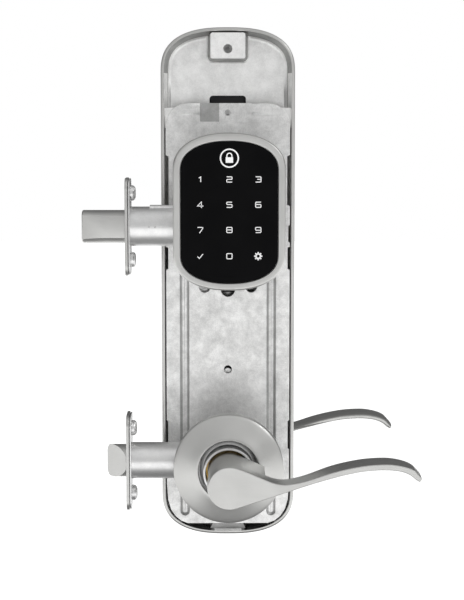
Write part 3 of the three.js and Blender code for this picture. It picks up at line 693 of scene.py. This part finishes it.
outside_lever = lever_piece("outside_lever", False)
dress(outside_lever, "exterior_lever_set", satin_nickel, "satin_nickel", "exterior_lever")
room_lever = lever_piece("room_lever", True)
dress(room_lever, "interior_lever_set", satin_nickel, "satin_nickel", "interior_lever")
print("levers")

# %% [markdown]
# ## Faceplates and the formed plates behind them
# A faceplate is a 1.8 mm sheet, 25 by 57 mm, with a hole for the bolt and two screw holes. Behind
# it sits a thin pressed plate whose screw holes are domed to the back. Sheets come from a filled
# curve, which gives every hole the same rounded edge, and the domes are turned.

# %% Edge plates
BACKSET, PLATE, SCREW, DEADBOLT_Z = -60.3, 1.8, 19.6, 139.7


def edge_plates(kind, z, barrel):
    outline = rounded(-12.7, 12.7, z - 28.575, z + 28.575, 6.35, 8)
    screw_holes = [circle(2.5, 0, z + side * SCREW, 28) for side in (-1, 1)]
    holes = [circle(10.0, 0, z, 56)] + screw_holes
    front = sheet_metal(kind + "_faceplate_fine", outline, holes, BACKSET, PLATE, 0.4, "x")
    sink_profile = [(5.2, BACKSET - 0.2), (5.0, BACKSET), (2.4, BACKSET + 1.9)]
    for side in (-1, 1):
        front = boolean(front, turned("sink", sink_profile, "x", (0, 0, z + side * SCREW), 32))
    dress(front, "fixed_set", satin_nickel, "satin_nickel", kind + "_faceplate")
    near = BACKSET + PLATE + 0.3
    barrel_hole = circle(barrel + 0.3, 0, z, 56)
    back = sheet_metal(kind + "_backplate_fine", inset(outline, 0.5), [barrel_hole], near, 0.8, 0.2, "x")
    dome_profile = [(4.6, near + 0.3), (4.6, near + 1.8), (4.45, near + 2.5), (4.0, near + 3.15),
                    (3.3, near + 3.6), (2.6, near + 3.8), (2.2, near + 3.6)]
    for side in (-1, 1):
        dome = turned("dome", dome_profile, "x", (0, 0, z + side * SCREW), 40)
        bore = turned("bore", [(2.0, near - 1), (2.0, near + 6)], "x", (0, 0, z + side * SCREW), 28)
        back = boolean(boolean(back, dome, "UNION"), bore)
    dress(back, "fixed_set", bright_zinc, "zinc_plate", kind + "_backplate")


edge_plates("deadbolt", DEADBOLT_Z, 11.7)
edge_plates("latch", 0.0, 10.8)
print("edge plates")

# %% [markdown]
# ## Barrels
# Each bolt slides in a rolled steel barrel. The deadbolt's carries a flat strap along its top, and
# it is staked with two small punch marks on the front.

# %% Barrels
def barrel(name, z, inner, profile):
    tube = profile + [(inner, -18.0), (inner, profile[0][1])]
    return turned(name, tube, "x", (0, 0, z), 80, ring_closed=True)


deadbolt_tube = [(11.1, -58.2), (11.5, -57.9), (11.7, -57.4), (11.7, -18.3), (11.5, -18.0)]
tube = barrel("deadbolt_tube", DEADBOLT_Z, 10.0, deadbolt_tube)
strap = [[(x, y, z) for y, z in rounded(-4, 4, 150.6, 152.2, 0.4, 3)] for x in (-46, -18)]
tube = boolean(tube, loft("strap", strap), "UNION")
for x in (-46.3, -42.6):
    punch = turned("punch", [(0.55, -13.0), (0.5, -11.6), (0.2, -11.35)], "y", (x, 0, 139.9), 16)
    tube = boolean(tube, punch)
dress(tube, "fixed_set", bright_zinc, "zinc_plate", "deadbolt_barrel")
latch_tube = [(10.3, -58.2), (10.65, -57.9), (10.8, -57.4), (10.8, -18.3), (10.6, -18.0)]
dress(barrel("latch_tube", 0, 10.0, latch_tube), "fixed_set", bright_zinc, "zinc_plate", "latch_barrel")
print("barrels")

# %% [markdown]
# ## Deadbolt and latch bolt
# The deadbolt is a solid bar, round above and below, with a wide flat milled on its front and back.
# The flats run out slowly: they are deepest, and so widest, at the tip. The latch bolt is a round
# bar cut by a bevel, so that it rides in over the strike, and a plunger beside it keeps it from
# being pushed back. Each bolt ends inside in a flat yoke with a slot for its crank's pin. The yoke
# is rebuilt with the CAD frame's sizes, because the new piece stands for the whole bolt.

# %% Bolts
BAR_RADIUS = 9.7


def flatted(radius, flat, steps=14):
    """A circle in Y and Z with its front and back cut off flat, at a distance flat from the middle."""
    lean = math.acos(flat / radius)
    half = math.pi / 2 - lean
    points = []
    for centre in (math.pi / 2, 1.5 * math.pi):
        for i in range(steps + 1):
            turn = centre - half + 2 * half * i / steps
            points.append((radius * math.cos(turn), radius * math.sin(turn)))
    return points


def deadbolt_mesh():
    stations = [(-85.7, 6.1, 0.6), (-85.5, 6.4, 0.3), (-85.2, 6.58, 0.1), (-84.9, 6.63, 0.0), (-72, 7.9, 0.0),
                (-47, 7.9, 0.0)]
    rings = []
    for x, flat, by in stations:
        rings.append([(x, y, DEADBOLT_Z + z) for y, z in flatted(BAR_RADIUS - by, flat)])
    bar = loft("deadbolt_bar", rings)
    bar = boolean(bar, box_tool(-47.5, -8.5, -1.5, 1.5, 147.5, 149.1), "UNION")
    bar = boolean(bar, box_tool(-17.0, -8.5, -1.5, 1.5, 147.5, 161.7), "UNION")
    slot = swept_y("slot", rounded(-15.1, -10.3, 150.1, 160.0, 2.3), [(-3, 0), (3, 0)])
    return boolean(bar, slot)


dress(deadbolt_mesh(), "deadbolt_set", satin_nickel, "satin_nickel", "deadbolt_bolt")


def latch_mesh():
    bar_profile = [(6.8, -72.3), (8.4, -71.9), (9.3, -71.3), (BAR_RADIUS, -70.5), (BAR_RADIUS, -47)]
    bar = turned("latch_bar", bar_profile, "x", (0, 0, 0), 80)
    bar = boolean(bar, box_tool(-100, 0, 5.9, 30, -40, 40))
    bevel = [(-74.3, 5.8), (-60.7, -9.0), (-60.7, -20), (-74.3, -20)]
    bar = boolean(bar, loft("wedge", [[(x, y, z) for x, y in bevel] for z in (-15, 15)]))
    bar = boolean(bar, box_tool(-47.5, -2.0, -1.5, 1.5, 7.8, 9.4), "UNION")
    bar = boolean(bar, box_tool(-10.0, -2.0, -1.5, 1.5, 7.8, 20.4), "UNION")
    slot = swept_y("slot", rounded(-8.1, -3.9, 11.4, 18.4, 2), [(-3, 0), (3, 0)])
    return boolean(bar, slot)


dress(latch_mesh(), "latch_set", satin_nickel, "satin_nickel", "latch_bolt")
plunger_profile = [(8.6, -70.3), (9.3, -69.9), (BAR_RADIUS, -69.2), (BAR_RADIUS, -47)]
plunger = turned("latch_plunger_bar", plunger_profile, "x", (0, 0, 0), 80)
plunger = boolean(plunger, box_tool(-100, 0, -30, 6.2, -40, 40))
dress(plunger, "plunger", satin_nickel, "satin_nickel", "latch_plunger")
print("bolts")

# %% [markdown]
# ## Mounting plate
# The room side hangs on a pressed steel plate. Its long beads are grooves pushed away from the
# door, which stiffen the sheet. The sheet is one filled curve with all its holes, and the beads
# start as long openings in it. At the top a tab is pressed back a little, and one part of it is
# painted darker, as painted shade in the recess.

# %% Plate sheet
DOOR_FACE, BEAD_X, BEAD_HALF = 22.2, 26.25, 2.85


def plate_outline():
    side, top, bottom = 37.3, 212.0, -44.0
    corner_top = [(side, 197.5), (36.9, 201.0), (35.6, 204.8), (33.2, 208.4), (29.6, 210.9), (25, top)]
    corner_low = [(24.5, bottom), (28.6, -42.4), (32.2, -39.4), (34.9, -35.2), (36.6, -29.2), (side, -20)]
    right = [(side, 2), (36.4, 2.6), (36.4, 19.4), (side, 20), (side, 112), (36.0, 112.6), (36.0, 125.4),
             (side, 126), (side, 128.5), (36.4, 129), (36.4, 138.5), (side, 139), (side, 150.6),
             (35.6, 151.2), (35.6, 180.4), (side, 181)]
    half = corner_low + right + corner_top
    return half + [(-x, z) for x, z in reversed(half)]


bead_shapes = [rounded(middle - BEAD_HALF, middle + BEAD_HALF, -39, 172, 2.8, 8)
               for middle in (-BEAD_X, BEAD_X)]
bolt_spots = [(side * 17.5, base - 15) for base in (0, DEADBOLT_Z) for side in (-1, 1)]
plate_holes = [circle(9, 0, DEADBOLT_Z, 48), circle(10, 0, 0, 48), circle(4.2, 0, 100, 32),
               circle(3.5, -14, 101.8, 28), circle(3.5, 14, 101.8, 28), circle(2.4, 0, 51.3, 28),
               rounded(-10, 10, 160, 174, 4), circle(1.4, 0, 206.4, 20)]
plate_holes += [circle(2.5, x, z, 24) for x, z in bolt_spots]
plate = sheet_metal("mounting_plate", plate_outline(), plate_holes + bead_shapes, DOOR_FACE, 2.0, 0.3)
tab = swept_y("tab", rounded(-16.7, 14.4, 201, 222, 0.6), [(20, 0), (22.75, 0)])
centre_tab = swept_y("centre tab", rounded(-5.2, 5.2, 199.4, 222, 0.6), [(20, 0), (23.2, 0)])
plate = boolean(boolean(plate, tab), centre_tab)
dress(plate, "fixed_set", zinc_plate, "zinc_plate", "interior_plate")
# Painted shade: the left part of the pressed-back tab gets the darker copy of the sheet finish.
second_finish(plate, painted_shade_zinc, lambda c: -16.7 < c.x < -5.2 and c.z > 200.5 and 22.6 < c.y < 22.9)
print("plate")

# %% [markdown]
# ## Beads, rivet and press nuts
# A trough closes each bead's opening: a strip as thick as the sheet, with a channel cut into it
# whose walls lean and round into its floor. The walls are painted darker than the sheet, as painted
# shade in the groove. A rivet holds the plate at the top, and a nut sits behind each small hole.

# %% Beads, rivet and the pieces behind the small holes
channel_stations = [(20, -0.02), (22.35, 0.05), (22.7, 0.4), (23.1, 0.8), (23.35, 1.1), (23.45, 1.6)]
# Painted shade: each trough's channel walls get the darker copy of the sheet finish.
for number, shape in enumerate(bead_shapes):
    channel = swept_y("channel", shape, channel_stations)
    trough = boolean(swept_y("plate_bead_%d" % (number + 1), shape, [(22.3, -0.05), (24.15, -0.05)]), channel)
    dress(trough, "fixed_set", zinc_plate, "zinc_plate")
    second_finish(trough, painted_shade_zinc, lambda c: 22.35 < c.y < 23.42)
rivet_profile = [(0.5, 22.35), (1.3, 22.4), (1.75, 22.65), (1.8, 22.95), (1.1, 23.0), (1.1, 29)]
rivet = turned("plate_rivet_fine", rivet_profile, "y", (0, 0, 206.4), 32)
dress(rivet, "fixed_set", steel, "steel", "plate_rivet")
nut_profile = [(2.3, 24.35), (2.65, 24.6), (2.7, 25.0), (2.7, 27.2)]
for side_name, x in (("left", -14), ("right", 14)):
    nut = turned("press_nut_" + side_name, nut_profile, "y", (x, 0, 102.9), 32)
    dress(nut, "fixed_set", bright_zinc, "steel")
print("beads, nuts and rivet")

# %% [markdown]
# ## Room-side housing
# A long die-cast tray, open toward the door. Its rim is 2 mm wide; inside, the wall leans a little
# and meets the floor in a fillet, as die-cast walls do. We carry the outline along Y for the
# outside and for each hollow, and let booleans cut the hollows, the battery bay, the slot and the
# holes out of the block, as a milling cutter would. The floor above the plate is the wiring tray,
# so this one piece stands for two nodes.

# %% Housing shape
HOUSING_HALF, HOUSING_LOW, HOUSING_HIGH, HOUSING_CAP, HOUSING_POWER = 40.15, -50.7, 256.9, 27, 2.6
housing_outline = capped(0, HOUSING_HALF, HOUSING_LOW, HOUSING_HIGH, HOUSING_CAP, HOUSING_POWER, 48)


def housing_mesh():
    outside = rounded_stations(DOOR_FACE, 54.2, 1.5, 5.0, 5)
    body = swept_y("room_housing", housing_outline, outside)
    pocket = [(20, 1.9), (22.2, 1.95), (31.4, 3.9), (32.6, 4.2), (33.5, 4.8), (33.9, 5.6), (34.0, 6.6)]
    body = boolean(body, swept_y("pocket", housing_outline, pocket))
    deep = swept_y("deep", housing_outline, [(30, 2.6), (50, 2.8), (52, 4.5)])
    deep = boolean(deep, box_tool(-60, 60, 0, 60, 181, 300))
    body = boolean(body, deep)
    ledge = swept_y("ledge", rounded(-37.9, 37.9, 197, 209.4, 1.0), [(24.5, 0.2), (24.7, 0), (36, 0)])
    ledge = boolean(ledge, box_tool(-17, 17, 20, 33, 190, 204))
    body = boolean(body, ledge, "UNION")
    boss_wall = [(22.8, 0.3), (23.0, 0.05), (23.4, 0), (31.5, -1.0), (33.0, -1.4), (33.8, -2.2), (35, -2.4)]
    boss = swept_y("boss", rounded(-10.6, 10.6, 238.2, 254.0, 1.6), boss_wall)
    body = boolean(body, boss, "UNION")
    foot_outline = [(-9.4, -43), (-10.2, -45.5), (-11.6, -49.4), (11.6, -49.4), (10.2, -45.5), (9.4, -43)]
    foot = swept_y("foot", foot_outline, [(25.6, 0.5), (26.2, 0), (53, 0)])
    body = boolean(body, foot, "UNION")
    pilot = turned("pilot", [(2.2, 25.8), (2.4, 26.1), (2.6, 53)], "y", (0, 0, 49.5), 40)
    return boolean(body, pilot, "UNION")


def housing_cuts(body):
    body = boolean(body, swept_y("slot", rounded(-11, 11, 203, 216.6, 2), [(10, 0), (38, 0)]))
    body = boolean(body, swept_y("bay", rounded(-32, 32, 183.5, 239.5, 0.5), [(36, 0), (60, 0)]))
    body = boolean(body, swept_y("step", rounded(-35.3, 35.3, 180.3, 245.3, 6), [(52, 0), (60, 0)]))
    bore_profile = [(2.9, 20), (2.7, 23.2), (2.7, 25.5), (1.1, 25.6), (1.1, 33)]
    body = boolean(body, turned("bore", bore_profile, "y", (0, 0, 244.2), 28))
    body = boolean(body, turned("rivet", [(1.4, 20), (1.4, 33)], "y", (0, 0, 206.4), 20))
    body = boolean(body, turned("turn", [(8, 40), (8, 60)], "y", (0, 0, DEADBOLT_Z), 48))
    return boolean(body, turned("collar", [(15, 40), (15, 60)], "y", (0, 0, 0), 64))


housing_piece = housing_cuts(housing_mesh())
print("housing:", len(housing_piece.data.polygons), "faces")

# %% [markdown]
# ## The housing's three finishes
# Outside and on its rim the casting is plated like the levers, and inside it stays as it came out
# of the die. Its steep walls and its foot are painted darker, as painted shade. One mesh can carry all
# three: each face gets its finish from where it lies and which way it looks. A black sheet behind
# the cable slot is painted shade: it darkens the view through the slot.

# %% Housing finish
RIM_WIDTH, RIM_BACK, DEEP_INSIDE = 1.7, 22.4, 20.0


def wall_depth(x, z):
    """How far inside the housing's outline a point lies, in mm, measured away from its middle."""
    beyond = max(0.0, z - (HOUSING_HIGH - HOUSING_CAP), HOUSING_LOW + HOUSING_CAP - z)
    across = (abs(x) / HOUSING_HALF) ** HOUSING_POWER + (beyond / HOUSING_CAP) ** HOUSING_POWER
    reach = across ** (1 / HOUSING_POWER)
    if reach <= 0.5:
        return DEEP_INSIDE
    return (1 / reach - 1) * math.hypot(x, beyond)


dress(housing_piece, "fixed_set", cast_zinc, "cast_zinc", "interior_housing", "wiring_tray")
# Finish 1 is painted shade for the steep inner walls and the foot; finish 2 is the plating.
for finish in (painted_shade_cast_zinc, satin_nickel):
    housing_piece.data.materials.append(finish)
plated_faces = 0
for face in housing_piece.data.polygons:
    centre = face.center / MM
    on_rim = centre.y < RIM_BACK or wall_depth(centre.x, centre.z) < RIM_WIDTH
    on_room_side = centre.y > 49 and face.normal.y > 0.02
    painted_shade_on_foot = centre.z < -43 and 25 < centre.y < 27
    painted_shade_on_wall = abs(face.normal.y) < 0.5 and centre.y < 33.6 and centre.z > 195 and abs(centre.x) < 38
    if on_rim or on_room_side:
        face.material_index = 2
        plated_faces += 1
    elif painted_shade_on_foot or (painted_shade_on_wall and centre.y > RIM_BACK):
        face.material_index = 1
# Painted shade: a thin black sheet behind the cable slot darkens the view through it.
shade_outline = rounded(-10.4, 10.4, 203.3, 216.7, 1.0)
shade = swept_y("cable_slot_painted_shade", shade_outline, [(37.3, 0.1), (37.4, 0), (37.55, 0)])
dress(shade, "fixed_set", black_abs, "black_plastic")
print("housing,", plated_faces, "plated faces")

# %% [markdown]
# ## Battery cover and thumbturn
# On the room side a flat cover closes the battery bay, and a winged thumbturn works the deadbolt.
# Both are satin nickel like the levers. The wing is an oblong with well-rounded edges, standing on
# a low turned skirt.

# %% Cover and thumbturn
cover_outline = rounded(-35, 35, 180.6, 245, 5.7, 8)
cover = swept_y("battery_cover_fine", cover_outline, rounded_stations(52.3, 55.0, 0.2, 0.8))
dress(cover, "cover", satin_nickel, "satin_nickel", "battery_cover")
wing_outline = rounded(-5.2, 5.2, 122.7, 156.7, 5, 10)
wing = swept_y("thumbturn_fine", wing_outline, rounded_stations(57, 76, 0.3, 2.2, 5))
skirt_profile = [(14.4, 54.8), (15, 55.2), (15, 56.4), (14.4, 57.4), (13, 58.2), (6, 58.5)]
skirt = turned("skirt", skirt_profile, "y", (0, 0, DEADBOLT_Z), 72)
shaft = turned("shaft", [(7, 25.5), (7, 56)], "y", (0, 0, DEADBOLT_Z), 48)
knob = boolean(boolean(wing, skirt, "UNION"), shaft, "UNION")
knob = boolean(knob, box_tool(-3.2, 3.2, 20, 31.6, 138.4, 141.0))
dress(knob, "thumbturn_set", satin_nickel, "satin_nickel", "thumbturn")
print("cover and thumbturn")

# %% [markdown]
# ## Pieces that keep their CAD shape
# The screws, cases, cranks, spindles, gears, boards and cells have the right shape already. They
# only need their finish, so each is given a material by the record's slot.

# %% Finishes for the carried pieces
by_slot = {"satin_nickel": satin_nickel, "zinc_plate": bright_zinc, "cast_zinc": cast_zinc,
           "steel": steel, "brass": brass, "black_lens": black_lens, "black_plastic": black_abs,
           "rubber": rubber, "circuit_board": circuit_board, "battery_wrap": cell_sleeve}
slots = {entry["node"]: entry["material_slot"] for entry in frame["record"]["subparts"]}
for node, obj in frame["nodes"].items():
    obj.data.materials.clear()
    obj.data.materials.append(by_slot[slots[node]])
print("carried pieces:", sum(not o.hide_render for o in frame["nodes"].values()))

# %% [markdown]
# ## Floor and light
# A pale floor lies well below the lock. Most of the light comes from the surround: to the camera it
# is plain white, but the metal mirrors it bright in front, dimmer at the sides and dark behind,
# which gives its edges their darker lines. The floor has a dark patch for the same reason, seen
# only in reflections, as dark cards do beside metal in a studio. One soft lamp at the right adds
# the long highlight on the rims.

# %% Studio
def pale_floor():
    """White paper. The metal mirrors a soft dark patch right under the lock; the camera sees plain paper."""
    material, tree = new_material("pale studio floor")
    spread = add(tree, "TexGradient", {"gradient_type": "SPHERICAL"},
                 Vector=place(tree, (1.75,) * 3)).outputs["Fac"]
    grey_rings = [(0.0, "#ffffff"), (0.16, "#f4f4f4"), (0.34, "#8c8c8c"), (0.62, "#3c3c3c")]
    mirrored = ramp(tree, spread, grey_rings)
    fibres = add(tree, "TexNoise", Vector=place(tree, (40.0,) * 3), Scale=1.0, Detail=3.0).outputs["Fac"]
    paper = ramp(tree, fibres, [(0.3, "#f6f6f6"), (0.7, "#ffffff")])
    seen = add(tree, "Mix", {"data_type": "RGBA"})
    for value, socket in ((add(tree, "LightPath").outputs["Is Camera Ray"], 0), (mirrored, 6), (paper, 7)):
        tree.links.new(value, seen.inputs[socket])
    output(tree, add(tree, "BsdfPrincipled", Base_Color=seen.outputs[2], Roughness=0.9,
                     Emission_Color=seen.outputs[2], Emission_Strength=0.75))
    return material


floor_corners = [(-6000, -6000), (6000, -6000), (6000, 6000), (-6000, 6000)]
floor = loft("studio_floor", [[(x, y, z) for x, y in floor_corners] for z in (-320, -300)])
floor.data.materials.append(pale_floor())


def studio_surround():
    """White where the camera looks; for reflections, bright in front, dimmer at the sides, dark behind."""
    world = bpy.data.worlds.new("studio surround")
    world.use_nodes = True
    tree = world.node_tree
    tree.nodes.clear()
    split = add(tree, "SeparateXYZ", Vector=add(tree, "TexCoord").outputs["Generated"])
    depth = add(tree, "MapRange", Value=split.outputs["Y"], i1=1.0, i2=-1.0, i3=0.0, i4=1.0).outputs[0]
    base = ramp(tree, depth, [(0.0, 0.12), (0.3, 0.24), (0.5, 0.43), (0.65, 0.56), (0.85, 0.61)])
    side = add(tree, "MapRange", Value=split.outputs["X"], i1=-1.0, i2=1.0, i3=0.78, i4=0.94).outputs[0]
    height = add(tree, "MapRange", Value=split.outputs["Z"], i1=-1.0, i2=1.0, i3=0.3, i4=1.7).outputs[0]
    sideways = add(tree, "Math", {"operation": "MULTIPLY"}, i0=base, i1=side).outputs[0]
    lit = add(tree, "Math", {"operation": "MULTIPLY"}, i0=sideways, i1=height).outputs[0]
    seen = add(tree, "Mix", {"data_type": "RGBA"})
    tree.links.new(add(tree, "LightPath").outputs["Is Camera Ray"], seen.inputs[0])
    tree.links.new(lit, seen.inputs[6])
    seen.inputs[7].default_value = (1, 1, 1, 1)
    shine = add(tree, "Background", Color=seen.outputs[2], Strength=1.0)
    tree.links.new(shine.outputs[0], add(tree, "OutputWorld").inputs["Surface"])
    return world


bpy.context.scene.world = studio_surround()
bpy.context.scene.view_settings.view_transform = "Standard"


def soft_lamp(name, location, target, size, power):
    data = bpy.data.lights.new(name, "AREA")
    data.shape, data.size, data.size_y, data.energy = "RECTANGLE", size[0], size[1], power
    lamp = bpy.data.objects.new(name, data)
    lamp.location = location
    lamp.rotation_euler = (Vector(target) - Vector(location)).to_track_quat("-Z", "Y").to_euler()
    bpy.context.scene.collection.objects.link(lamp)


soft_lamp("right lamp", (1.1, -0.7, 1.0), (0, 0, 0.1), (0.3, 0.6), 3)
print("studio ready")
